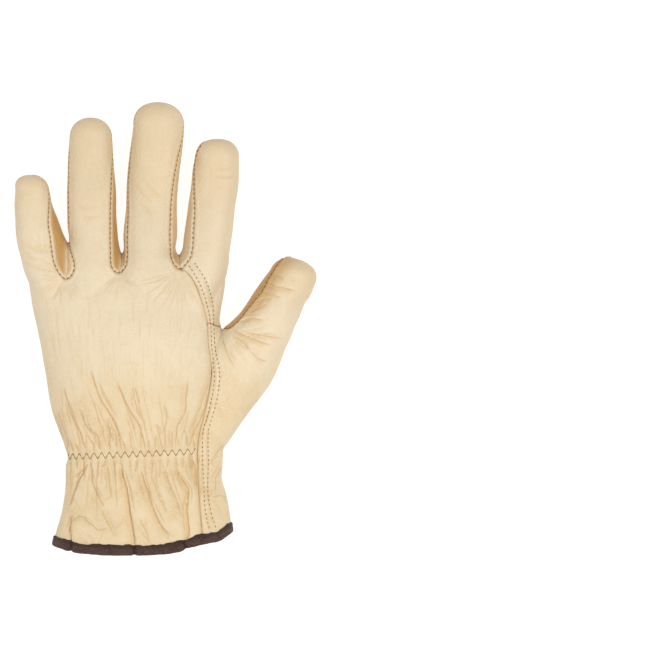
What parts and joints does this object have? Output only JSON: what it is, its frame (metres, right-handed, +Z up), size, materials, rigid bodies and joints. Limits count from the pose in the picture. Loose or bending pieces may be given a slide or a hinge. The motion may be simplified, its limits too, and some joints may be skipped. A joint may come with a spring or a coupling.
{
  "type": "leather driver glove",
  "caption": "Left-hand driver glove of smooth pale leather with a gathered wrist, a seamed thumb, set-in finger fronts and a taped, vented cuff, lying palm down.",
  "frame": {"origin": "on the surface that the palm lies on, under the middle of the glove's outline", "axes": "+Y towards the fingertips, +X towards the thumb side, +Z up out of the back of the hand"},
  "size_m": [0.1752, 0.262, 0.0345],
  "materials": {
    "back_leather": "soft satin grain leather",
    "palm_leather": "soft satin grain leather",
    "finger_front_leather": "soft satin grain leather",
    "thumb_leather": "soft satin grain leather",
    "binding_tape": "matt ribbed tape",
    "sewing_thread": "matt twisted thread"
  },
  "bodies": {
    "root": {"back_panel": "back_leather", "palm_panel": "palm_leather", "ring_finger_front": "finger_front_leather", "middle_finger_front": "finger_front_leather", "thumb_panel": "thumb_leather", "cuff_binding": "binding_tape"}
  },
  "joints": []
}
